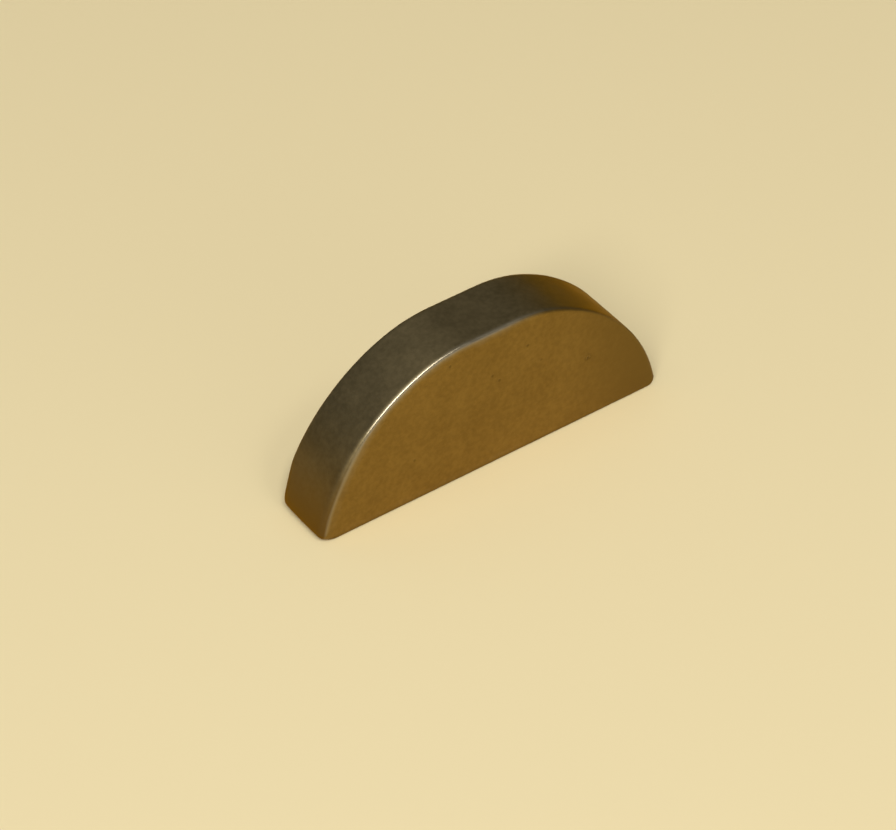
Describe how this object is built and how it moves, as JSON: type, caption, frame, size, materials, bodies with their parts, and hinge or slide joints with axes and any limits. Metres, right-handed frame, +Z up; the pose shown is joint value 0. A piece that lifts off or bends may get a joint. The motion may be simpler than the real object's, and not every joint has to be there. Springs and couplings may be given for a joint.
{
  "type": "woodruff key",
  "caption": "Half-round steel machine key with flat sides, a flat base and a small flat on its crest; it seats in a shaft's half-round keyseat and drives a hub.",
  "frame": {"origin": "middle of the flat face, which the key stands on", "axes": "+X along the flat face from tip to tip, +Y across the thickness from side to side, +Z up from the flat face to the crest"},
  "size_m": [0.0186, 0.0032, 0.0077],
  "materials": {
    "steel": "oiled hardened steel, brown on the sides and dark grey on the rim, with bright worn edges"
  },
  "bodies": {
    "root": {"woodruff_key": "steel"}
  },
  "joints": []
}
